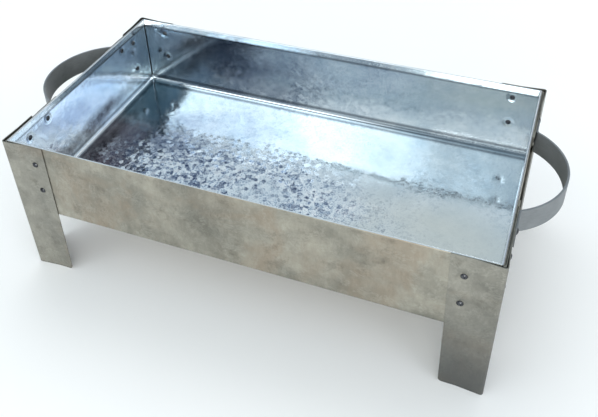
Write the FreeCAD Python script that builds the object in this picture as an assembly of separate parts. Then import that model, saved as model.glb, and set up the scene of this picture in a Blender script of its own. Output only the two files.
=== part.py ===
import FreeCAD, Part
import math
import os

# Footed sheet-metal tray: a folded galvanised pan on four riveted angle legs,
# with a bowed strap handle on each end wall.
# Millimetres, +Z up, X along the length; the origin is on the ground under the
# middle of the tray.

# Overall sizes
TRAY_LENGTH = 500.0
TRAY_WIDTH = 271.0
TRAY_HEIGHT = 174.5
WALL_HEIGHT = 92.0

# Pan sheet, hem and folded corners
PAN_SHEET = 0.8
FLOOR_BEND = 4.0
CORNER_BEND = 2.8
HEM_DEPTH = 7.5
HEM_GAP = 0.5
HEM_FLARE = 0.7
MITRE_GAP = 0.4
EAR_GAP = 0.6
EAR_DROP = 1.5
EAR_GAP_DEPTH = 5.0
EAR_TIP_CLOSED = 9.0
SLIT_WIDTH = 1.4
SLIT_ABOVE_EAR_FOOT = 4.0
SLIT_INTO_PAN = 4.0
MITRE_REACH = 4.0

# Legs
LEG_SHEET = 0.9
LEG_TOP_WIDTH = 48.0
LEG_FOOT_WIDTH = 44.0
LEG_BEND = 3.0
LEG_FOOT_ROUND = 4.0
LEG_STANDOFF_END = 4.5
LEG_STANDOFF_SIDE = 3.3
LEG_CLAMPED = 21.0

# Handles
STRAP_SHEET = 2.0
STRAP_WIDTH = 25.0
STRAP_DROP = 3.0
HANDLE_REACH = 40.5
HANDLE_BEND = 3.0
HANDLE_FOOT = 22.0
HANDLE_RIVET = 12.0
HANDLE_TO_LEG = 5.5
HANDLE_FOOT_ROUND = 3.0
HANDLE_SHIFT_LEFT = 3.0
HANDLE_SHIFT_RIGHT = 0.0

# Rivets
RIVET_SHANK = 3.2
RIVET_HOLE = 3.4
RIVET_HEAD = 6.4
RIVET_HEAD_RISE = 1.5
RIVET_SET_RISE = 1.3
RIVET_EDGE = 13.5
RIVET_UP_FRONT = 23.5
RIVET_LOW_FRONT = 58.0
RIVET_UP_BACK = 16.0
RIVET_LOW_BACK = 50.0
RIVET_UP_END = 19.0
RIVET_LOW_END = 57.0

# How far a cutting tool runs past the faces that it cuts
OVERCUT = 1.0

# Derived positions
HALF_L = TRAY_LENGTH / 2.0
HALF_W = TRAY_WIDTH / 2.0
RIM_Z = TRAY_HEIGHT
FLOOR_Z = TRAY_HEIGHT - WALL_HEIGHT
HEM_THICK = 2.0 * PAN_SHEET + HEM_GAP
EAR_THICK = 2.0 * PAN_SHEET + EAR_GAP
EAR_FACE = HALF_L + EAR_THICK
EAR_FOOT_Z = FLOOR_Z + FLOOR_BEND
EAR_TOP_Z = RIM_Z - EAR_DROP
LEG_OUT_X = HALF_L + LEG_STANDOFF_END
LEG_OUT_Y = HALF_W + LEG_STANDOFF_SIDE
STRAP_MID_Z = RIM_Z - STRAP_DROP - STRAP_WIDTH / 2.0
FLANGE_DEPTH = LEG_FOOT_WIDTH / 4.0

Vec = FreeCAD.Vector


def face_of(points):
    """A flat face from its corner points."""
    wire = Part.makePolygon(points + [points[0]])
    return Part.Face(wire)


def prism_z(outline, low, high):
    """An upright prism from (x, y) corners."""
    corners = [Vec(x, y, low) for x, y in outline]
    return face_of(corners).extrude(Vec(0, 0, high - low))


def block(x_range, y_range, z_range):
    """A box between two values on each axis."""
    x0, x1 = x_range
    y0, y1 = y_range
    z0, z1 = z_range
    return Part.makeBox(x1 - x0, y1 - y0, z1 - z0, Vec(x0, y0, z0))


def upright(edge):
    """True for an edge that runs straight up."""
    ends = [v.Point for v in edge.Vertexes]
    if len(ends) != 2:
        return False
    flat = math.hypot(ends[0].x - ends[1].x, ends[0].y - ends[1].y)
    return flat < 1e-4 and abs(ends[0].z - ends[1].z) > 1e-3


def edges_at_z(shape, height):
    """The edges that lie wholly in one level plane."""
    box_of = [(e, e.BoundBox) for e in shape.Edges]
    return [e for e, b in box_of if abs(b.ZMin - height) < 1e-4 and abs(b.ZMax - height) < 1e-4]


def rounded_block(inset, low, high, corner, base=0.0):
    """A block inside the tray outline by an inset, its base and upright edges rounded."""
    body = block((-HALF_L + inset, HALF_L - inset), (-HALF_W + inset, HALF_W - inset), (low, high))
    if base > 0.0:
        body = body.makeFillet(base, edges_at_z(body, low))
    return body.makeFillet(corner, [e for e in body.Edges if upright(e)])


def pan_shell():
    """The folded pan without its hem: a floor and four upright walls."""
    outer = rounded_block(0.0, FLOOR_Z, RIM_Z - HEM_DEPTH, CORNER_BEND, FLOOR_BEND)
    inner = rounded_block(
        PAN_SHEET, FLOOR_Z + PAN_SHEET, RIM_Z + OVERCUT, CORNER_BEND - PAN_SHEET, FLOOR_BEND - PAN_SHEET
    )
    return outer.cut(inner)


def hem_profile(place):
    """The rim's section: up the wall, over in a half round and down the lip."""
    low = RIM_Z - HEM_DEPTH
    top = RIM_Z - HEM_THICK / 2.0
    middle = HEM_THICK / 2.0
    lip = HEM_THICK - PAN_SHEET
    over = Part.Arc(place(0.0, top), place(middle, RIM_Z), place(HEM_THICK, top)).toShape()
    under_top = RIM_Z - PAN_SHEET
    under = Part.Arc(place(lip, top), place(middle, under_top), place(PAN_SHEET, top)).toShape()
    edges = [
        Part.makeLine(place(0.0, low), place(0.0, top)),
        over,
        Part.makeLine(place(HEM_THICK, top), place(HEM_THICK + HEM_FLARE, low)),
        Part.makeLine(place(HEM_THICK + HEM_FLARE, low), place(lip + HEM_FLARE, low)),
        Part.makeLine(place(lip + HEM_FLARE, low), place(lip, top)),
        under,
        Part.makeLine(place(PAN_SHEET, top), place(PAN_SHEET, low)),
        Part.makeLine(place(PAN_SHEET, low), place(0.0, low)),
    ]
    return Part.Face(Part.Wire(edges))


def hem_ring():
    """The rim of all four walls turned inwards and down, mitred at the corners."""
    low = RIM_Z - HEM_DEPTH
    reach = HALF_W / 2.0
    ring = None
    for way in (1, -1):
        side = hem_profile(lambda u, z: Vec(-HALF_L, way * (HALF_W - u), z))
        side = side.extrude(Vec(TRAY_LENGTH, 0, 0))
        zone = [(HALF_L, HALF_W), (-HALF_L, HALF_W), (-HALF_L + reach, HALF_W - reach)]
        zone.append((HALF_L - reach, HALF_W - reach))
        zone = [(x, way * y) for x, y in zone]
        side = side.common(prism_z(zone, low - OVERCUT, RIM_Z + OVERCUT))
        end = hem_profile(lambda u, z: Vec(way * (HALF_L - u), -HALF_W, z))
        end = end.extrude(Vec(0, TRAY_WIDTH, 0))
        zone = [(HALF_L, HALF_W), (HALF_L, -HALF_W), (HALF_L - reach, -HALF_W + reach)]
        zone.append((HALF_L - reach, HALF_W - reach))
        zone = [(way * x, y) for x, y in zone]
        end = end.common(prism_z(zone, low - OVERCUT, RIM_Z + OVERCUT))
        ring = side.fuse(end) if ring is None else ring.fuse(side).fuse(end)
    return ring.common(rounded_block(0.0, low, RIM_Z, CORNER_BEND))


def mitre(sx, sy):
    """The fine joint where two hems meet at a corner."""
    half = MITRE_GAP / 2.0
    start = PAN_SHEET + HEM_GAP
    outline = [
        (-start - half, -start + half),
        (-start + half, -start - half),
        (-start + half - MITRE_REACH, -start - half - MITRE_REACH),
        (-start - half - MITRE_REACH, -start + half - MITRE_REACH),
    ]
    outline = [(sx * (HALF_L + x), sy * (HALF_W + y)) for x, y in outline]
    return prism_z(outline, RIM_Z - HEM_DEPTH - OVERCUT, RIM_Z + OVERCUT)


def ear(sx, sy):
    """The spare corner sheet folded flat against the end wall, two layers thick."""
    run = EAR_TOP_Z - EAR_FOOT_Z
    start = sx * (HALF_L - PAN_SHEET / 2.0)
    corners = [
        Vec(start, sy * HALF_W, EAR_FOOT_Z),
        Vec(start, sy * HALF_W, EAR_TOP_Z),
        Vec(start, sy * (HALF_W - run), EAR_TOP_Z),
    ]
    plate = face_of(corners).extrude(Vec(sx * (EAR_THICK + PAN_SHEET / 2.0), 0, 0))
    outside = []
    for edge in plate.Edges:
        mid = edge.valueAt((edge.FirstParameter + edge.LastParameter) / 2.0)
        on_face = abs(abs(mid.x) - EAR_FACE) < 1e-4
        if on_face and mid.z < EAR_TOP_Z - PAN_SHEET:
            outside.append(edge)
    return plate.makeFillet(PAN_SHEET, outside)


def ear_gap(sx, sy):
    """The open top of the fold between the two layers of an ear."""
    inner = HALF_L + PAN_SHEET
    run = EAR_TOP_Z - EAR_FOOT_Z
    y_near = sy * (HALF_W - CORNER_BEND)
    y_far = sy * (HALF_W - run + EAR_TIP_CLOSED)
    x_pair = sorted((sx * inner, sx * (inner + EAR_GAP)))
    return block(x_pair, sorted((y_near, y_far)), (EAR_TOP_Z - EAR_GAP_DEPTH, EAR_TOP_Z + OVERCUT))


def slit(sx, sy):
    """The upright mouth of the corner fold, seen from inside the pan."""
    y_far = HALF_W - PAN_SHEET
    x_pair = sorted((sx * (HALF_L - SLIT_INTO_PAN), sx * (HALF_L + PAN_SHEET + EAR_GAP)))
    y_pair = sorted((sy * y_far, sy * (y_far - SLIT_WIDTH)))
    return block(x_pair, y_pair, (EAR_FOOT_Z + SLIT_ABOVE_EAR_FOOT, RIM_Z - HEM_DEPTH - OVERCUT))


def leg_line():
    """Corner points of a leg's outer face in plan, for the corner at +X +Y."""
    side_y = HALF_W + LEG_SHEET
    end_x = EAR_FACE + LEG_SHEET
    return [
        (LEG_OUT_X - LEG_TOP_WIDTH, side_y),
        (LEG_OUT_X - LEG_TOP_WIDTH + LEG_CLAMPED, side_y),
        (LEG_OUT_X, LEG_OUT_Y),
        (end_x, LEG_OUT_Y - LEG_TOP_WIDTH + LEG_CLAMPED),
        (end_x, LEG_OUT_Y - LEG_TOP_WIDTH),
    ]


def shift_line(points, distance):
    """Move an open run of straight lines sideways, keeping its corners sharp."""
    rows = []
    for first, second in zip(points[:-1], points[1:]):
        dx = second[0] - first[0]
        dy = second[1] - first[1]
        size = math.hypot(dx, dy)
        normal = (dy / size, -dx / size)
        rows.append((first, second, normal))
    moved = []
    first, second, normal = rows[0]
    moved.append((first[0] + normal[0] * distance, first[1] + normal[1] * distance))
    for before, after in zip(rows[:-1], rows[1:]):
        n0 = before[2]
        n1 = after[2]
        scale = distance / (1.0 + n0[0] * n1[0] + n0[1] * n1[1])
        knee = after[0]
        moved.append((knee[0] + (n0[0] + n1[0]) * scale, knee[1] + (n0[1] + n1[1]) * scale))
    first, second, normal = rows[-1]
    moved.append((second[0] + normal[0] * distance, second[1] + normal[1] * distance))
    return moved


def flange_mask(outer, side):
    """The outline of one leg flange seen square on: narrower at the foot."""
    top = outer - LEG_TOP_WIDTH
    foot = outer - LEG_FOOT_WIDTH
    reach = outer + OVERCUT
    depth = (side - FLANGE_DEPTH, side + OVERCUT)
    if side == LEG_OUT_Y:
        corners = [Vec(reach, depth[0], 0), Vec(foot, depth[0], 0)]
        corners += [Vec(top, depth[0], RIM_Z), Vec(reach, depth[0], RIM_Z)]
        push = Vec(0, depth[1] - depth[0], 0)
    else:
        corners = [Vec(depth[0], reach, 0), Vec(depth[0], foot, 0)]
        corners += [Vec(depth[0], top, RIM_Z), Vec(depth[0], reach, RIM_Z)]
        push = Vec(depth[1] - depth[0], 0, 0)
    mask = face_of(corners).extrude(push)
    near_foot = []
    for edge in mask.Edges:
        mid = edge.CenterOfMass
        along = mid.x if side == LEG_OUT_Y else mid.y
        if abs(mid.z) < 1e-4 and abs(along - foot) < 1e-4:
            near_foot.append(edge)
    return mask.makeFillet(LEG_FOOT_ROUND, near_foot)


def corner_edges(shape, knee):
    """The upright edges of a shape that stand at one plan point."""
    found = []
    for edge in shape.Edges:
        foot = edge.Vertexes[0].Point
        if upright(edge) and math.hypot(foot.x - knee[0], foot.y - knee[1]) < 1e-3:
            found.append(edge)
    return found


def leg_blank():
    """An angle leg for the corner at +X +Y, before its rivet holes."""
    outer = leg_line()
    inner = shift_line(outer, LEG_SHEET)
    body = prism_z(outer + inner[::-1], 0.0, RIM_Z)
    body = body.makeFillet(LEG_BEND, corner_edges(body, outer[2]))
    body = body.makeFillet(LEG_BEND - LEG_SHEET, corner_edges(body, inner[2]))
    side_flange = body.common(flange_mask(LEG_OUT_X, LEG_OUT_Y))
    end_flange = body.common(flange_mask(LEG_OUT_Y, LEG_OUT_X))
    return side_flange.fuse(end_flange).removeSplitter()


def flipped(shape, sx, sy):
    """Copy a +X +Y corner piece to another corner."""
    result = shape.copy()
    if sx < 0:
        result = result.mirror(Vec(0, 0, 0), Vec(1, 0, 0))
    if sy < 0:
        result = result.mirror(Vec(0, 0, 0), Vec(0, 1, 0))
    return result


def arc_band(centre, radius, start, stop, low, high):
    """A curved strip about an upright axis, between two angles in degrees."""
    half = STRAP_SHEET / 2.0
    runs = []
    for r in (radius - half, radius + half):
        middle = (start + stop) / 2.0
        marks = []
        for angle in (start, middle, stop):
            a = math.radians(angle)
            marks.append(Vec(centre[0] + r * math.cos(a), centre[1] + r * math.sin(a), low))
        runs.append(marks)
    inner = Part.Arc(*runs[0]).toShape()
    outer = Part.Arc(*runs[1]).toShape()
    first = Part.makeLine(runs[0][0], runs[1][0])
    last = Part.makeLine(runs[0][2], runs[1][2])
    wire = Part.Wire(Part.__sortEdges__([inner, outer, first, last]))
    return Part.Face(wire).extrude(Vec(0, 0, high - low))


def handle_layout():
    """A handle in plan: its arc's centre and radius, and the centre of each small bend."""
    apex = HALF_L + HANDLE_REACH - STRAP_SHEET / 2.0
    bend_x = EAR_FACE + STRAP_SHEET / 2.0 + HANDLE_BEND
    bend_y = LEG_OUT_Y - LEG_TOP_WIDTH - HANDLE_TO_LEG - HANDLE_FOOT
    rise = apex - bend_x
    radius = (rise * rise + bend_y * bend_y - HANDLE_BEND ** 2) / (2.0 * (rise + HANDLE_BEND))
    return apex - radius, radius, bend_x, bend_y


def handle_blank():
    """A strap bowed in a level arc, its feet turned outwards along the wall."""
    centre_x, radius, bend_x, bend_y = handle_layout()
    low = STRAP_MID_Z - STRAP_WIDTH / 2.0
    high = STRAP_MID_Z + STRAP_WIDTH / 2.0
    lean = math.degrees(math.atan2(bend_y, bend_x - centre_x))
    body = arc_band((centre_x, 0.0), radius, -lean, lean, low, high)
    for sy in (1, -1):
        centre = (bend_x, sy * bend_y)
        bend = arc_band(centre, HANDLE_BEND, 180.0, 180.0 + sy * lean, low, high)
        x_pair = (EAR_FACE, EAR_FACE + STRAP_SHEET)
        y_pair = sorted((sy * bend_y, sy * (bend_y + HANDLE_FOOT)))
        foot = block(x_pair, y_pair, (low, high))
        ends = []
        for edge in foot.Edges:
            mid = edge.CenterOfMass
            along_x = abs(edge.BoundBox.XLength - STRAP_SHEET) < 1e-4
            if along_x and abs(abs(mid.y) - bend_y - HANDLE_FOOT) < 1e-4:
                ends.append(edge)
        foot = foot.makeFillet(HANDLE_FOOT_ROUND, ends)
        body = body.fuse(bend).fuse(foot)
    return body.removeSplitter()


def rivet_body(inner, outer):
    """A set rivet along +Z through a stack from inner to outer, headed on both sides."""
    rivet = Part.makeCylinder(RIVET_SHANK / 2.0, outer - inner, Vec(0, 0, inner))
    head = Part.makeCylinder(RIVET_HEAD / 2.0, RIVET_HEAD_RISE, Vec(0, 0, outer))
    tail = Part.makeCylinder(RIVET_HEAD / 2.0, RIVET_SET_RISE, Vec(0, 0, inner - RIVET_SET_RISE))
    return rivet.fuse(head).fuse(tail).removeSplitter()


def along_wall(shape, sx, sy, x, y, z):
    """Turn a +Z shape to point out of an end wall (sx) or a long wall (sy)."""
    result = shape.copy()
    if sx:
        result.rotate(Vec(0, 0, 0), Vec(0, 1, 0), 90.0 * sx)
    else:
        result.rotate(Vec(0, 0, 0), Vec(1, 0, 0), -90.0 * sy)
    result.translate(Vec(x, y, z))
    return result


def rivet_rows():
    """Each rivet: name, wall direction, place on the wall and the stack it grips."""
    rows = []
    for sx, end in ((-1, "left"), (1, "right")):
        for sy, side in ((-1, "front"), (1, "back")):
            tag = side + "_" + end
            up = RIVET_UP_FRONT if sy < 0 else RIVET_UP_BACK
            low = RIVET_LOW_FRONT if sy < 0 else RIVET_LOW_BACK
            x = sx * (LEG_OUT_X - LEG_TOP_WIDTH + RIVET_EDGE)
            y = sy * (LEG_OUT_Y - LEG_TOP_WIDTH + RIVET_EDGE)
            for level, drop in (("upper", up), ("lower", low)):
                name = "rivet_" + tag + "_side_" + level
                rows.append((name, 0, sy, x, 0.0, RIM_Z - drop, HALF_W, LEG_SHEET))
            for level, drop in (("upper", RIVET_UP_END), ("lower", RIVET_LOW_END)):
                name = "rivet_" + tag + "_end_" + level
                rows.append((name, sx, 0, 0.0, y, RIM_Z - drop, HALF_L, EAR_THICK + LEG_SHEET))
    shifts = ((-1, "left", HANDLE_SHIFT_LEFT), (1, "right", HANDLE_SHIFT_RIGHT))
    reach = handle_layout()[3] + HANDLE_RIVET
    for sx, end, shift in shifts:
        for sy, side in ((-1, "front"), (1, "back")):
            name = "rivet_handle_" + end + "_" + side
            y = shift + sy * reach
            rows.append((name, sx, 0, 0.0, y, STRAP_MID_Z, HALF_L, EAR_THICK + STRAP_SHEET))
    return rows


def build():
    """Every node by name."""
    nodes = {}
    pan = pan_shell().fuse(hem_ring())
    for sx in (-1, 1):
        for sy in (-1, 1):
            pan = pan.fuse(ear(sx, sy))
    for sx in (-1, 1):
        for sy in (-1, 1):
            for tool in (mitre(sx, sy), ear_gap(sx, sy), slit(sx, sy)):
                pan = pan.cut(tool)
    nodes["pan"] = pan
    leg = leg_blank()
    for sx, end in ((-1, "left"), (1, "right")):
        for sy, side in ((-1, "front"), (1, "back")):
            nodes["leg_" + side + "_" + end] = flipped(leg, sx, sy)
    strap = handle_blank()
    nodes["handle_left"] = flipped(strap, -1, 1).translated(Vec(0, HANDLE_SHIFT_LEFT, 0))
    nodes["handle_right"] = strap.translated(Vec(0, HANDLE_SHIFT_RIGHT, 0))
    sheets = list(nodes)
    for name, sx, sy, x, y, z, wall, stack in rivet_rows():
        rivet = rivet_body(wall - PAN_SHEET, wall + stack)
        start = wall - PAN_SHEET - OVERCUT
        drill = Part.makeCylinder(RIVET_HOLE / 2.0, wall + stack + OVERCUT - start, Vec(0, 0, start))
        drill = along_wall(drill, sx, sy, x, y, z)
        for sheet in sheets:
            if nodes[sheet].BoundBox.intersect(drill.BoundBox):
                nodes[sheet] = nodes[sheet].cut(drill)
        nodes[name] = along_wall(rivet, sx, sy, x, y, z)
    return nodes


os.makedirs("parts", exist_ok=True)
for node_name, node_shape in build().items():
    node_shape.exportStep("parts/" + node_name + ".step")
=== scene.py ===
import math
from collections import namedtuple

import bmesh
import bpy
from mathutils import Matrix, Vector


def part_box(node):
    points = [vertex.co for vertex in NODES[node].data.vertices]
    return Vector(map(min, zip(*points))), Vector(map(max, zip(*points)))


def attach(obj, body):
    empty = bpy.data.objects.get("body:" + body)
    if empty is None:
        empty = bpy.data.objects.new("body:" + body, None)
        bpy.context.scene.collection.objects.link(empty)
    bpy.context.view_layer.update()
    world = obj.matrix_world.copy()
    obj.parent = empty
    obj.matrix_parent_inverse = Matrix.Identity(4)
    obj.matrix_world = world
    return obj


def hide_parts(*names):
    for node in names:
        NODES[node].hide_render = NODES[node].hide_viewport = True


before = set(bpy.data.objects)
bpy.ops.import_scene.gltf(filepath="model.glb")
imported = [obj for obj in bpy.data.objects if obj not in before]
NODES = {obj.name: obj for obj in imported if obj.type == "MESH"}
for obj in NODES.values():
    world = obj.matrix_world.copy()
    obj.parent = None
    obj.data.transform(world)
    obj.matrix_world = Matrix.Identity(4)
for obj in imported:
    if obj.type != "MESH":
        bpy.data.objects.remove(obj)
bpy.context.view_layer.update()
MM = 0.001

# Places read from the frame, in metres
PAN_LOW, PAN_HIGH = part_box("pan")
RIM_Z = PAN_HIGH.z
FLOOR_Z = PAN_LOW.z
HALF_W = PAN_HIGH.y

# Thicknesses and depths as the CAD has them, which the frame does not give
SHEET = 0.8 * MM
EAR_THICK = 2.2 * MM
HEM_DEPTH = 7.5 * MM
HALF_L = PAN_HIGH.x - EAR_THICK

# Camera
CAMERA_AT = (0.2546, -0.5855, 0.6363)
CAMERA_AZIMUTH = 22.02
CAMERA_ELEVATION = 36.34
CAMERA_ROLL = -1.56
CAMERA_LENS = 44.99
CAMERA_SENSOR = 36.0
CAMERA_SHIFT_Y = -0.148

# The bend between floor and walls: how high its painted highlight and shade line go, and how far its calm
# strip reaches
BEND_WIDE = 4.5 * MM
BEND_NEAR = 6.0 * MM
BEND_FAR = 14.0 * MM

# How far the shading normal inside the pan leans upwards, as if its walls were sprung; no shape changes
WALL_BOW = 0.10

# Sky colours, the heights between which they meet, and what the camera itself sees behind the floor
SKY_LOW = (0.92, 0.96, 0.98, 1.0)
SKY_HIGH = (0.60, 0.70, 0.77, 1.0)
SKY_MEET = (0.45, 0.68)
BACKDROP = (0.9, 0.9, 0.9, 1.0)

# Soft patches in the sky, dark flags first and bright windows last:
# bearing from +Y towards +X, height, outer and inner radius, all in degrees, then strength and colour
SKY_PATCHES = (
    (22.0, 34.0, 19.0, 6.0, 0.97, (0.02, 0.05, 0.11, 1.0)),
    (36.0, 44.0, 13.0, 4.0, 0.55, (0.20, 0.12, 0.11, 1.0)),
    (-33.0, 29.0, 14.0, 4.0, 0.85, (0.04, 0.09, 0.19, 1.0)),
    (152.0, 48.0, 20.0, 8.0, 0.80, (0.10, 0.20, 0.26, 1.0)),
    (158.0, 22.0, 16.0, 6.0, 0.85, (0.06, 0.12, 0.20, 1.0)),
    (-146.0, 20.0, 17.0, 6.0, 0.88, (0.03, 0.07, 0.15, 1.0)),
    (-145.0, 48.0, 20.0, 5.0, 1.0, (2.1, 2.3, 2.4, 1.0)),
    (122.0, 35.0, 17.0, 6.0, 1.0, (2.5, 2.6, 2.85, 1.0)),
)

# Studio lights: name, place, size, watts, colour and whether metal mirrors them
LIGHTS = (
    ("softbox_top", (-0.3, 1.2, 2.2), (2.4, 1.6), 20.0, (1.0, 1.0, 1.0), False),
    ("softbox_front", (0.6, -2.3, 0.6), (1.5, 0.9), 29.0, (1.0, 0.97, 0.92), True),
)
LIGHT_AIM = (0.0, 0.0, 0.1)
FLOOR_SIZE = 12.0
FLOOR_CLEARANCE = 0.2 * MM

# Zinc crystals' sizes, and how far each leans the shading normal: inside the pan, outside it, on the legs
INNER_CRYSTAL = 4.6 * MM
OUTER_CRYSTAL = 9.0 * MM
INNER_LEAN = 0.22
OUTER_LEAN = 0.03
LEG_LEAN = 0.04

# Bumps: where sheet is drawn in round a rivet, the slow waves of each sheet, and its fine grain
PUCKER_INNER = 3.0 * MM
PAN_PUCKER_OUTER = 7.5 * MM
LEG_PUCKER_OUTER = 8.0 * MM
PAN_PUCKER_DEPTH = 0.4 * MM
LEG_PUCKER_DEPTH = 0.35 * MM
PAN_WAVE = 2.4 * MM
LEG_WAVE = 2.2 * MM
GRAIN_DEPTH = 0.05 * MM
PIT_DEPTH = 0.06 * MM

# How far painted shade reaches in seams and round rivets, the painted shadow line under the hem, and the
# legs' grey foot
SEAM_SHADE = 3.0 * MM
RIVET_SHADE = 1.2 * MM
HEM_SHADOW = 3.6 * MM
FOOT_FADE = 140.0 * MM

# Rivets
RIVET_SIDES = 28
DOME_STEPS = 7
HEAD_RISE_OUT = 1.5 * MM
HEAD_RISE_IN = 1.3 * MM
INNER_HEAD_SHARE = 0.94
DIMPLE_RADIUS = 0.95 * MM
DIMPLE_DEPTH = 0.55 * MM
HEAD_LIP = 0.25 * MM
SHANK_RADIUS = 1.6 * MM


# ---------------------------------------------------------------- node helpers
class Tree:
    """Short ways to add and link shader nodes."""

    def __init__(self, tree):
        self.tree = tree

    def node(self, kind, **values):
        made = self.tree.nodes.new(kind)
        for key, value in values.items():
            setattr(made, key, value)
        return made

    def plug(self, value, socket):
        if isinstance(value, bpy.types.NodeSocket):
            self.tree.links.new(value, socket)
        elif value is not None:
            socket.default_value = value

    def math(self, operation, a, b=None):
        made = self.node("ShaderNodeMath", operation=operation)
        for value, socket in zip((a, b), made.inputs):
            self.plug(value, socket)
        return made.outputs[0]

    def times(self, *values):
        """The product of several values."""
        result = values[0]
        for value in values[1:]:
            result = self.math("MULTIPLY", result, value)
        return result

    def vector(self, operation, a, b=None, scale=None):
        made = self.node("ShaderNodeVectorMath", operation=operation)
        self.plug(a, made.inputs[0])
        if b is not None:
            self.plug(b, made.inputs[1])
        if scale is not None:
            self.plug(scale, made.inputs["Scale"])
        scalar = operation in ("DOT_PRODUCT", "LENGTH", "DISTANCE")
        return made.outputs["Value" if scalar else "Vector"]

    def noise(self, place, scale, detail=3.0, rough=0.55, distort=0.0):
        made = self.node("ShaderNodeTexNoise")
        self.plug(place, made.inputs["Vector"])
        made.inputs["Scale"].default_value = scale
        made.inputs["Detail"].default_value = detail
        made.inputs["Roughness"].default_value = rough
        made.inputs["Distortion"].default_value = distort
        return made

    def cloud(self, place, scale, detail=3.0, rough=0.55, distort=0.0):
        """The grey value of a noise."""
        return self.noise(place, scale, detail, rough, distort).outputs["Fac"]

    def voronoi(self, place, scale, feature="F1"):
        made = self.node("ShaderNodeTexVoronoi", feature=feature)
        self.plug(place, made.inputs["Vector"])
        made.inputs["Scale"].default_value = scale
        return made

    def spread(self, value, low, high, to_low=0.0, to_high=1.0, smooth=False):
        made = self.node("ShaderNodeMapRange")
        if smooth:
            made.interpolation_type = "SMOOTHSTEP"
        self.plug(value, made.inputs["Value"])
        made.inputs["From Min"].default_value = low
        made.inputs["From Max"].default_value = high
        made.inputs["To Min"].default_value = to_low
        made.inputs["To Max"].default_value = to_high
        return made.outputs["Result"]

    def mix(self, share, a, b):
        made = self.node("ShaderNodeMix", data_type="RGBA")
        self.plug(share, made.inputs["Factor"])
        sides = [s for s in made.inputs if s.type == "RGBA"]
        self.plug(a, sides[0])
        self.plug(b, sides[1])
        return [s for s in made.outputs if s.type == "RGBA"][0]

    def blend(self, share, a, b):
        made = self.node("ShaderNodeMix", data_type="FLOAT")
        self.plug(share, made.inputs["Factor"])
        self.plug(a, made.inputs["A"])
        self.plug(b, made.inputs["B"])
        return made.outputs["Result"]

    def ramp(self, value, stops):
        """A colour read from (position, colour) stops."""
        made = self.node("ShaderNodeValToRGB")
        self.plug(value, made.inputs["Fac"])
        points = made.color_ramp.elements
        while len(points) < len(stops):
            points.new(0.5)
        for point, (where, tint) in zip(points, stops):
            point.position = where
            point.color = tint
        return made.outputs["Color"]

    def axes(self, place):
        made = self.node("ShaderNodeSeparateXYZ")
        self.plug(place, made.inputs[0])
        return made.outputs["X"], made.outputs["Y"], made.outputs["Z"]

    def all_axes(self, value):
        """The same value on all three axes."""
        made = self.node("ShaderNodeCombineXYZ")
        for socket in made.inputs:
            self.plug(value, socket)
        return made.outputs[0]

    def bump(self, height, distance, normal=None):
        made = self.node("ShaderNodeBump")
        made.inputs["Strength"].default_value = 1.0
        made.inputs["Distance"].default_value = distance
        self.plug(height, made.inputs["Height"])
        if normal is not None:
            self.plug(normal, made.inputs["Normal"])
        return made.outputs["Normal"]

    def occlusion_shade(self, reach):
        """Painted shade: 1 where another surface stands within reach, such as a seam or a rivet's edge.
        """
        made = self.node("ShaderNodeAmbientOcclusion", samples=8)
        made.inputs["Distance"].default_value = reach
        return self.math("SUBTRACT", 1.0, made.outputs["AO"])

    def patch_line(self, value, middle, half):
        """1 where a value is at the middle of a band, falling softly to 0 at its edges."""
        away = self.math("ABSOLUTE", self.math("SUBTRACT", value, middle))
        return self.spread(away, 0.0, half, 1.0, 0.0, smooth=True)

    def patch(self, place, centre, size, edge):
        """1 inside an ellipsoid at centre with half sizes, falling softly to 0 at its edge."""
        offset = self.vector("SUBTRACT", place, centre)
        offset = self.vector("DIVIDE", offset, size)
        return self.spread(self.vector("LENGTH", offset), edge, 1.0, 1.0, 0.0, smooth=True)


def new_material(name):
    """An empty material: its tree, its shader and its object-space place."""
    material = bpy.data.materials.new(name)
    material.use_nodes = True
    tree = material.node_tree
    tree.nodes.clear()
    kit = Tree(tree)
    shader = kit.node("ShaderNodeBsdfPrincipled")
    output = kit.node("ShaderNodeOutputMaterial")
    tree.links.new(shader.outputs["BSDF"], output.inputs["Surface"])
    place = kit.node("ShaderNodeTexCoord").outputs["Object"]
    return material, kit, shader, place


def rgb(red, green, blue):
    """A linear colour from 0 to 255 screen values."""
    def linear(value):
        share = value / 255.0
        if share <= 0.04045:
            return share / 12.92
        return ((share + 0.055) / 1.055) ** 2.4
    return (linear(red), linear(green), linear(blue), 1.0)


# ---------------------------------------------------------------- zinc crystals
CRYSTAL_TONES = (
    (0.17, rgb(38, 58, 104)),
    (0.31, rgb(104, 128, 168)),
    (0.46, rgb(194, 210, 226)),
    (0.68, rgb(252, 254, 255)),
)


def spangle(kit, place, cell):
    """Zinc crystals: a random vector for each jagged flake, feathering across it, the warped place."""
    ragged = kit.noise(place, 3.2 / cell, 4.0, 0.75).outputs["Color"]
    ragged = kit.vector("SUBTRACT", ragged, (0.5, 0.5, 0.5))
    warped = kit.vector("ADD", place, kit.vector("SCALE", ragged, scale=cell * 0.9))
    flake = kit.voronoi(warped, 1.0 / cell).outputs["Color"]
    turn = kit.node("ShaderNodeVectorRotate", rotation_type="EULER_XYZ")
    kit.plug(place, turn.inputs["Vector"])
    kit.plug(kit.vector("SCALE", flake, scale=2.0 * math.pi), turn.inputs["Rotation"])
    feather = kit.vector("MULTIPLY", turn.outputs["Vector"], (1.0, 0.14, 0.5))
    feather = kit.spread(kit.cloud(feather, 7.0 / cell, 2.0, 0.6), 0.36, 0.64)
    return flake, feather, warped


def crystal_edges(kit, warped, cell):
    """1 on the borders between the flakes of a spangle."""
    border = kit.voronoi(warped, 1.0 / cell, "DISTANCE_TO_EDGE").outputs["Distance"]
    return kit.spread(border, 0.02, 0.11, 1.0, 0.0)


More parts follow.
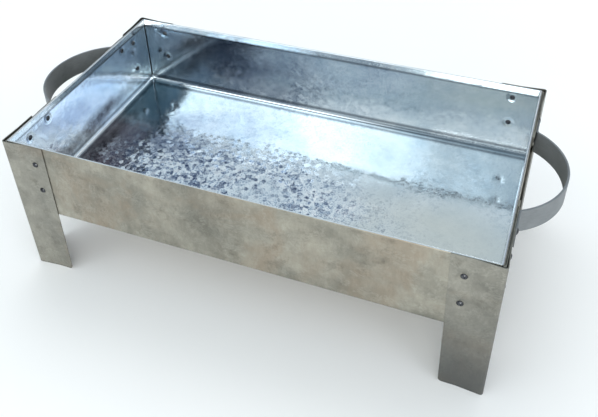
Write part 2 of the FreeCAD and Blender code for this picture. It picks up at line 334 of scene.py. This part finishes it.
def tilt_flakes(kit, flake, amount, normal):
    """Lean the surface normal a little differently on each flake."""
    lean = kit.vector("SUBTRACT", flake, (0.5, 0.5, 0.5))
    lean = kit.vector("MULTIPLY", lean, kit.all_axes(amount))
    return kit.vector("NORMALIZE", kit.vector("ADD", normal, lean))


# ---------------------------------------------------------------- rivets
Rivet = namedtuple("Rivet", "name axis sign centre radius reach")


def find_rivets():
    """Each rivet node: its name, axis (0 or 1), outward sign, centre, head radius and half length."""
    rows = []
    for name in sorted(NODES):
        if not name.startswith("rivet_"):
            continue
        low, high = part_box(name)
        centre = (low + high) / 2.0
        beyond = (abs(centre.x) - HALF_L, abs(centre.y) - HALF_W)
        axis = 0 if beyond[0] > beyond[1] else 1
        sign = 1.0 if centre[axis] > 0.0 else -1.0
        radius = (high[1 - axis] - low[1 - axis]) / 2.0
        rows.append(Rivet(name, axis, sign, centre, radius, high[axis] - centre[axis]))
    return rows


RIVETS = find_rivets()


def near_rivet(kit, place):
    """The distance to the nearest rivet, counted at about a third along its axis."""
    nearest = None
    for rivet in RIVETS:
        keep = [1.0, 1.0, 1.0]
        keep[rivet.axis] = 0.35
        offset = kit.vector("SUBTRACT", place, tuple(rivet.centre))
        offset = kit.vector("MULTIPLY", offset, tuple(keep))
        distance = kit.vector("LENGTH", offset)
        nearest = distance if nearest is None else kit.math("MINIMUM", nearest, distance)
    return nearest


# ---------------------------------------------------------------- materials
# Painted reflections in the pan, laid on like stains: centre, half sizes, strength and colour
PAINTED_REFLECTIONS = (
    ((-0.240, 0.090, FLOOR_Z), (0.085, 0.100, 0.030), 0.34, rgb(112, 138, 142)),
    ((-0.160, 0.035, FLOOR_Z), (0.085, 0.060, 0.020), 0.50, rgb(60, 82, 128)),
    ((-0.208, -0.070, FLOOR_Z), (0.050, 0.075, 0.015), 0.62, rgb(136, 84, 76)),
    ((-0.120, HALF_W, 0.135), (0.160, 0.060, 0.075), 0.52, rgb(52, 74, 112)),
    ((-0.245, 0.130, 0.140), (0.060, 0.050, 0.070), 0.45, rgb(96, 124, 136)),
    ((-HALF_L, 0.050, 0.150), (0.060, 0.120, 0.060), 0.40, rgb(128, 170, 208)),
    ((-HALF_L, -0.020, FLOOR_Z + 0.018), (0.060, 0.150, 0.019), 0.95, rgb(34, 26, 40)),
)

# Where the crystals are open, and a creamy part of the floor: centre and half sizes
OPEN_ZINC = ((-0.06, -0.05, FLOOR_Z), (0.25, 0.13, 0.05))
CREAM_ZINC = ((0.16, -0.05, FLOOR_Z), (0.17, 0.11, 0.05))
REFLECTION_DRIFT = (0.13, 0.13, 0.03)


def pan_inside(kit, place):
    """Glossy zinc with painted reflections at its left end: its colour, roughness, flakes and how open
    they are.
    """
    flake, feather, warped = spangle(kit, place, INNER_CRYSTAL)
    edge = crystal_edges(kit, warped, INNER_CRYSTAL)
    haze = kit.cloud(place, 22.0, 5.0, 0.62)
    patchy = kit.cloud(place, 13.0, 3.0, 0.6, 0.5)
    open_zinc = kit.patch(place, *OPEN_ZINC, 0.45)
    faint = kit.spread(patchy, 0.4, 0.62, 0.04, 0.26, smooth=True)
    crisp = kit.times(open_zinc, kit.spread(patchy, 0.3, 0.5, 0.4, 1.0))
    crisp = kit.math("MAXIMUM", crisp, faint)

    colour = kit.mix(kit.spread(haze, 0.32, 0.68), rgb(208, 220, 227), rgb(236, 242, 244))
    cream = kit.patch(place, *CREAM_ZINC, 0.3)
    colour = kit.mix(kit.times(cream, 0.6), colour, rgb(228, 222, 206))
    tone = kit.math("ADD", kit.times(kit.axes(flake)[0], 0.42), kit.times(feather, 0.60))
    tone = kit.math("ADD", tone, kit.times(edge, 0.22))
    colour = kit.mix(kit.times(crisp, 0.85), colour, kit.ramp(tone, CRYSTAL_TONES))
    ragged = kit.spread(kit.cloud(place, 45.0, 4.0, 0.65), 0.25, 0.6, 0.45, 1.0)
    drift = kit.noise(place, 16.0, 4.0, 0.65).outputs["Color"]
    drift = kit.vector("SUBTRACT", drift, (0.5, 0.5, 0.5))
    drifted = kit.vector("ADD", place, kit.vector("MULTIPLY", drift, REFLECTION_DRIFT))
    # Painted reflections, laid on at fixed places like stains
    for centre, size, strength, tint in PAINTED_REFLECTIONS:
        share = kit.times(kit.patch(drifted, centre, size, 0.15), ragged, strength)
        colour = kit.mix(share, colour, tint)
    rough = kit.spread(kit.times(haze, feather), 0.1, 0.5, 0.08, 0.19)
    return colour, rough, flake, crisp


def dull_zinc(kit, place, dark, light, rust):
    """Weathered zinc: cloudy, faintly crystalline, with brownish bloom."""
    flake, feather, _ = spangle(kit, place, OUTER_CRYSTAL)
    mottle = kit.cloud(place, 17.0, 6.0, 0.64, 0.3)
    bloom = kit.cloud(place, 10.0, 4.0, 0.6, 0.8)
    colour = kit.mix(kit.spread(mottle, 0.33, 0.66), dark, light)
    colour = kit.mix(kit.spread(bloom, 0.5, 0.68, 0.0, 0.6, smooth=True), colour, rust)
    specks = kit.spread(kit.cloud(place, 48.0, 6.0, 0.74), 0.54, 0.72, 0.0, 0.6)
    colour = kit.mix(specks, colour, rgb(104, 99, 89))
    tone = kit.axes(flake)[0]
    colour = kit.mix(kit.times(tone, feather, 0.28), colour, rgb(198, 197, 186))
    grain = kit.cloud(kit.vector("MULTIPLY", place, (1.0, 1.0, 0.35)), 330.0, 3.0, 0.7)
    grain = kit.spread(grain, 0.3, 0.7)
    colour = kit.mix(kit.times(grain, 0.16), colour, rgb(96, 93, 84))
    rough = kit.spread(mottle, 0.3, 0.7, 0.40, 0.54)
    return colour, rough, flake


def beside_walls(kit, x, y, far, near):
    """0 where all walls are further than far, rising to 1 where one is nearer than near."""
    end_wall = kit.spread(kit.math("ABSOLUTE", x), HALF_L - far, HALF_L - near)
    side_wall = kit.spread(kit.math("ABSOLUTE", y), HALF_W - far, HALF_W - near)
    return kit.math("MAXIMUM", end_wall, side_wall)


def galvanised_pan():
    """Glossy crystals inside the pan, weathered zinc outside, a painted highlight along the hem, painted
    light and shade along the bend, painted shadow under the hem and painted shade in its seams.
    """
    material, kit, shader, place = new_material("galvanised_pan")
    x, y, z = kit.axes(place)
    inner_x = kit.math("LESS_THAN", kit.math("ABSOLUTE", x), HALF_L - SHEET * 0.5)
    inner_y = kit.math("LESS_THAN", kit.math("ABSOLUTE", y), HALF_W - SHEET * 0.5)
    above = kit.math("GREATER_THAN", z, FLOOR_Z + SHEET * 0.5)
    inside = kit.times(inner_x, inner_y, above)

    colour_in, rough_in, flake, crisp = pan_inside(kit, place)
    colour_out, rough_out, _ = dull_zinc(
        kit, place, rgb(128, 127, 118), rgb(180, 176, 163), rgb(158, 143, 125)
    )
    colour = kit.mix(inside, colour_out, colour_in)
    rough = kit.blend(inside, rough_out, rough_in)

    # Painted highlight along the inner face of the hem
    hem_highlight = kit.spread(z, RIM_Z - HEM_DEPTH, RIM_Z - HEM_DEPTH + SHEET, smooth=True)
    hem_highlight = kit.times(hem_highlight, inside, kit.spread(kit.cloud(place, 60.0), 0.35, 0.6, 0.5, 1.0))
    colour = kit.mix(hem_highlight, colour, rgb(238, 242, 244))
    # Painted highlight along the bend between floor and walls, fading to a painted shade line towards +X
    low_edge = FLOOR_Z + SHEET
    wall = beside_walls(kit, x, y, BEND_WIDE, BEND_WIDE * 0.6)
    low = kit.spread(z, low_edge + BEND_WIDE * 0.6, low_edge + BEND_WIDE, 1.0, 0.0)
    bend = kit.times(wall, inside, low)
    fade = kit.spread(x, -0.02, 0.12, smooth=True)
    bend_light_and_shade = kit.mix(fade, rgb(242, 247, 250), rgb(92, 108, 120))
    colour = kit.mix(kit.times(bend, 0.8), colour, bend_light_and_shade)
    # Painted shade: a dark line just above the bend
    shade_above_bend = kit.patch_line(z, low_edge + BEND_WIDE * 1.45, BEND_WIDE * 0.9)
    colour = kit.mix(kit.times(shade_above_bend, inside, wall, 0.7), colour, rgb(40, 52, 66))
    # Painted shadow: a dark line under the hem
    hem_shadow_line = kit.patch_line(z, RIM_Z - HEM_DEPTH - SHEET, HEM_SHADOW)
    colour = kit.mix(kit.times(hem_shadow_line, inside, 0.72), colour, rgb(34, 46, 62))
    # Painted shade in seams and round rivets, from occlusion
    painted_shade = kit.spread(kit.occlusion_shade(SEAM_SHADE), 0.25, 0.9, 0.0, 0.7)
    colour = kit.mix(painted_shade, colour, rgb(34, 42, 54))
    kit.plug(colour, shader.inputs["Base Color"])
    kit.plug(rough, shader.inputs["Roughness"])
    shader.inputs["Metallic"].default_value = 1.0

    near = near_rivet(kit, place)
    pucker = kit.spread(near, PUCKER_INNER, PAN_PUCKER_OUTER, smooth=True)
    normal = kit.bump(kit.cloud(place, 8.0, 1.0, 0.4), PAN_WAVE)
    normal = kit.bump(pucker, PAN_PUCKER_DEPTH, normal)
    normal = kit.bump(kit.cloud(place, 90.0, 3.0, 0.6), GRAIN_DEPTH, normal)
    in_bend = kit.times(
        beside_walls(kit, x, y, BEND_FAR, BEND_NEAR),
        kit.spread(z, low_edge + BEND_WIDE, low_edge + BEND_WIDE * 3.0, 1.0, 0.0),
    )
    calm = kit.math("SUBTRACT", 1.0, in_bend)
    lean = kit.blend(inside, OUTER_LEAN, kit.times(crisp, calm, INNER_LEAN))
    bow = kit.vector("MULTIPLY", kit.all_axes(inside), (0.0, 0.0, WALL_BOW))
    normal = kit.vector("ADD", normal, bow)
    kit.plug(tilt_flakes(kit, flake, lean, normal), shader.inputs["Normal"])
    return material


def galvanised_leg():
    """Weathered zinc, greyer towards the feet at the right end, with painted shade in its seams."""
    material, kit, shader, place = new_material("galvanised_leg")
    x, _, z = kit.axes(place)
    colour, rough, flake = dull_zinc(
        kit, place, rgb(124, 123, 116), rgb(168, 166, 156), rgb(146, 134, 119)
    )
    cloud = kit.cloud(place, 11.0, 4.0, 0.6, 0.6)
    low = kit.times(
        kit.spread(z, 0.0, FOOT_FADE, 0.85, 0.0, smooth=True),
        kit.spread(cloud, 0.3, 0.6, 0.4, 1.0),
        kit.spread(x, -0.2, 0.2, 0.0, 1.0),
    )
    colour = kit.mix(low, colour, rgb(98, 101, 101))
    # Painted shade in the seams, from occlusion
    painted_shade = kit.spread(kit.occlusion_shade(SEAM_SHADE), 0.15, 0.75, 0.0, 0.8)
    colour = kit.mix(painted_shade, colour, rgb(40, 42, 44))
    kit.plug(colour, shader.inputs["Base Color"])
    kit.plug(rough, shader.inputs["Roughness"])
    shader.inputs["Metallic"].default_value = 1.0
    pucker = kit.spread(near_rivet(kit, place), PUCKER_INNER, LEG_PUCKER_OUTER, smooth=True)
    normal = kit.bump(kit.cloud(place, 14.0, 1.0, 0.4), LEG_WAVE)
    normal = kit.bump(pucker, LEG_PUCKER_DEPTH, normal)
    normal = kit.bump(kit.cloud(place, 120.0, 3.0, 0.6), GRAIN_DEPTH, normal)
    kit.plug(tilt_flakes(kit, flake, LEG_LEAN, normal), shader.inputs["Normal"])
    return material


def steel_strap():
    """Matt grey rolled strap with faint lengthways rolling marks and painted shade at its rivets."""
    material, kit, shader, place = new_material("steel_strap")
    stretched = kit.vector("MULTIPLY", place, (1.0, 1.0, 9.0))
    grain = kit.cloud(stretched, 160.0, 3.0, 0.6)
    cloud = kit.cloud(place, 30.0, 4.0, 0.6)
    colour = kit.mix(kit.spread(cloud, 0.3, 0.7), rgb(98, 103, 106), rgb(124, 129, 132))
    colour = kit.mix(kit.times(kit.spread(grain, 0.35, 0.65), 0.25), colour, rgb(146, 151, 153))
    # Painted shade at the rivets and where the strap meets the pan, from occlusion
    painted_shade = kit.spread(kit.occlusion_shade(SEAM_SHADE), 0.15, 0.75, 0.0, 0.8)
    colour = kit.mix(painted_shade, colour, rgb(34, 36, 40))
    kit.plug(colour, shader.inputs["Base Color"])
    kit.plug(kit.spread(cloud, 0.3, 0.7, 0.46, 0.58), shader.inputs["Roughness"])
    shader.inputs["Metallic"].default_value = 0.30
    kit.plug(kit.bump(grain, GRAIN_DEPTH), shader.inputs["Normal"])
    return material


def rivet_metal():
    """Dark dulled rivet alloy with painted shade in its hollows, and small pits."""
    material, kit, shader, place = new_material("rivet_metal")
    pits = kit.cloud(place, 900.0, 3.0, 0.6)
    cloud = kit.cloud(place, 220.0, 2.0, 0.5)
    colour = kit.mix(kit.spread(cloud, 0.3, 0.7), rgb(44, 46, 50), rgb(92, 94, 98))
    # Painted shade in the hollows, from occlusion
    painted_shade = kit.spread(kit.occlusion_shade(RIVET_SHADE), 0.15, 0.7, 0.0, 0.9)
    colour = kit.mix(painted_shade, colour, rgb(16, 18, 22))
    kit.plug(colour, shader.inputs["Base Color"])
    kit.plug(kit.spread(pits, 0.3, 0.7, 0.20, 0.40), shader.inputs["Roughness"])
    shader.inputs["Metallic"].default_value = 1.0
    kit.plug(kit.bump(pits, PIT_DEPTH), shader.inputs["Normal"])
    return material


def pale_floor():
    """A plain pale studio floor."""
    material, kit, shader, place = new_material("studio_floor")
    tone = kit.cloud(place, 3.0, 2.0)
    colour = kit.mix(tone, (0.95, 0.94, 0.92, 1.0), (0.97, 0.96, 0.94, 1.0))
    kit.plug(colour, shader.inputs["Base Color"])
    shader.inputs["Roughness"].default_value = 0.9
    shader.inputs["Specular IOR Level"].default_value = 0.1
    return material


PAN_ZINC = galvanised_pan()
LEG_ZINC = galvanised_leg()
STRAP_STEEL = steel_strap()
RIVET_METAL = rivet_metal()


def paint(obj, material):
    """Give every slot of an object one material."""
    if not obj.material_slots:
        obj.data.materials.append(material)
    for place in obj.material_slots:
        place.material = material


def paint_nodes():
    """A finish for each CAD node by its name."""
    for name, obj in NODES.items():
        if name == "pan":
            paint(obj, PAN_ZINC)
        elif name.startswith("leg_"):
            paint(obj, LEG_ZINC)
        elif name.startswith("handle_"):
            paint(obj, STRAP_STEEL)
        else:
            paint(obj, RIVET_METAL)


# ---------------------------------------------------------------- rivet pieces
def head_profile(radius, rise):
    """A domed head's section from its seat's rim to the bottom of its dimple."""
    points = [(radius * 0.97, 0.0), (radius, HEAD_LIP)]
    for step in range(1, DOME_STEPS):
        share = step / DOME_STEPS
        r = radius + (DIMPLE_RADIUS - radius) * share
        z = HEAD_LIP + (rise - HEAD_LIP) * math.sin(share * math.pi / 2.0)
        points.append((r, z))
    points.append((DIMPLE_RADIUS * 1.12, rise * 0.99))
    points.append((DIMPLE_RADIUS * 0.95, rise - DIMPLE_DEPTH * 0.35))
    points.append((DIMPLE_RADIUS * 0.80, rise - DIMPLE_DEPTH))
    points.append((DIMPLE_RADIUS * 0.30, rise - DIMPLE_DEPTH * 0.9))
    return points


def rivet_section(rivet):
    """A rivet's half section, as radius and distance along its axis from its outer head inwards."""
    seat_out = rivet.reach - HEAD_RISE_OUT
    seat_in = -rivet.reach + HEAD_RISE_IN
    outer_head = reversed(head_profile(rivet.radius, HEAD_RISE_OUT))
    inner_head = head_profile(rivet.radius * INNER_HEAD_SHARE, HEAD_RISE_IN)
    section = [(r, seat_out + z) for r, z in outer_head]
    section += [(SHANK_RADIUS, seat_out), (SHANK_RADIUS, seat_in)]
    section += [(r, seat_in - z) for r, z in inner_head]
    return section


def make_ring(mesh, rivet, radius, along):
    """A ring of points round a rivet's axis, at a radius and a distance along it."""
    centre = rivet.centre
    ring = []
    for side in range(RIVET_SIDES):
        angle = 2.0 * math.pi * side / RIVET_SIDES
        u = radius * math.cos(angle)
        v = radius * math.sin(angle)
        if rivet.axis == 0:
            spot = (centre.x + rivet.sign * along, centre.y + rivet.sign * u, centre.z + v)
        else:
            spot = (centre.x - rivet.sign * u, centre.y + rivet.sign * along, centre.z + v)
        ring.append(mesh.verts.new(spot))
    return ring


def make_rivet(rivet):
    """A blind rivet: a domed head on each side of the sheets, joined by its shank."""
    mesh = bmesh.new()
    rings = [make_ring(mesh, rivet, radius, along) for radius, along in rivet_section(rivet)]
    for first, second in zip(rings[:-1], rings[1:]):
        for side in range(RIVET_SIDES):
            after = (side + 1) % RIVET_SIDES
            mesh.faces.new((first[side], first[after], second[after], second[side]))
    mesh.faces.new(rings[0])
    mesh.faces.new(rings[-1])
    bmesh.ops.recalc_face_normals(mesh, faces=mesh.faces[:])
    for face in mesh.faces:
        face.smooth = True
    data = bpy.data.meshes.new(rivet.name + "_domed")
    mesh.to_mesh(data)
    mesh.free()
    piece = bpy.data.objects.new(rivet.name + "_domed", data)
    bpy.context.scene.collection.objects.link(piece)
    paint(piece, RIVET_METAL)
    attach(piece, "root")
    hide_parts(rivet.name)


# ---------------------------------------------------------------- stage
def make_floor():
    """A large plain floor under the tray's feet."""
    bpy.ops.mesh.primitive_plane_add(size=FLOOR_SIZE, location=(0.0, 0.0, -FLOOR_CLEARANCE))
    floor = bpy.context.object
    floor.name = "studio_floor"
    paint(floor, pale_floor())


def area_light(name, place, size, power, colour, mirrored):
    """A soft rectangular light at a place, pointed at the tray, that metal may mirror or not."""
    data = bpy.data.lights.new(name, "AREA")
    data.shape = "RECTANGLE"
    data.size, data.size_y = size
    data.energy = power
    data.color = colour
    lamp = bpy.data.objects.new(name, data)
    lamp.location = place
    lamp.visible_glossy = mirrored
    lamp.rotation_mode = "QUATERNION"
    lamp.rotation_quaternion = (Vector(LIGHT_AIM) - Vector(place)).to_track_quat("-Z", "Y")
    bpy.context.scene.collection.objects.link(lamp)


def sky_way(azimuth, elevation):
    """The direction of a compass bearing from +Y towards +X, and a height, in degrees."""
    turn = math.radians(azimuth)
    rise = math.radians(elevation)
    return (math.sin(turn) * math.cos(rise), math.cos(turn) * math.cos(rise), math.sin(rise))


def make_world():
    """An even pale sky, with soft dark flags and soft windows for the metal to reflect."""
    world = bpy.data.worlds.new("studio_sky")
    world.use_nodes = True
    tree = world.node_tree
    tree.nodes.clear()
    kit = Tree(tree)
    place = kit.node("ShaderNodeTexCoord").outputs["Generated"]
    height = kit.axes(place)[2]
    colour = kit.mix(kit.spread(height, *SKY_MEET, smooth=True), SKY_LOW, SKY_HIGH)
    for azimuth, elevation, edge, core, strength, tint in SKY_PATCHES:
        toward = kit.vector("DOT_PRODUCT", place, sky_way(azimuth, elevation))
        rim = math.cos(math.radians(edge))
        middle = math.cos(math.radians(core))
        reach = kit.spread(toward, rim, middle, smooth=True)
        colour = kit.mix(kit.times(reach, strength), colour, tint)
    seen = kit.node("ShaderNodeLightPath").outputs["Is Camera Ray"]
    colour = kit.mix(seen, colour, BACKDROP)
    light = kit.node("ShaderNodeBackground")
    kit.plug(colour, light.inputs["Color"])
    light.inputs["Strength"].default_value = 1.0
    output = kit.node("ShaderNodeOutputWorld")
    tree.links.new(light.outputs["Background"], output.inputs["Surface"])
    bpy.context.scene.world = world


def make_camera():
    """The camera, with its slight roll and the frame's lens shift."""
    azimuth = math.radians(CAMERA_AZIMUTH)
    elevation = math.radians(CAMERA_ELEVATION)
    roll = math.radians(CAMERA_ROLL)
    back = Vector((
        math.sin(azimuth) * math.cos(elevation),
        -math.cos(azimuth) * math.cos(elevation),
        math.sin(elevation),
    ))
    right = Vector((math.cos(azimuth), math.sin(azimuth), 0.0))
    up = back.cross(right)
    right_rolled = right * math.cos(roll) + up * math.sin(roll)
    up_rolled = up * math.cos(roll) - right * math.sin(roll)
    data = bpy.data.cameras.new("camera")
    data.lens = CAMERA_LENS
    data.sensor_width = CAMERA_SENSOR
    data.shift_y = CAMERA_SHIFT_Y
    data.clip_start = 0.01
    data.clip_end = 50.0
    camera = bpy.data.objects.new("camera", data)
    turn = Matrix((right_rolled, up_rolled, back)).transposed()
    camera.matrix_world = Matrix.Translation(Vector(CAMERA_AT)) @ turn.to_4x4()
    bpy.context.scene.collection.objects.link(camera)
    bpy.context.scene.camera = camera


paint_nodes()
for each in RIVETS:
    make_rivet(each)
make_floor()
make_world()
for light in LIGHTS:
    area_light(*light)
make_camera()
bpy.context.scene.view_settings.view_transform = "Standard"
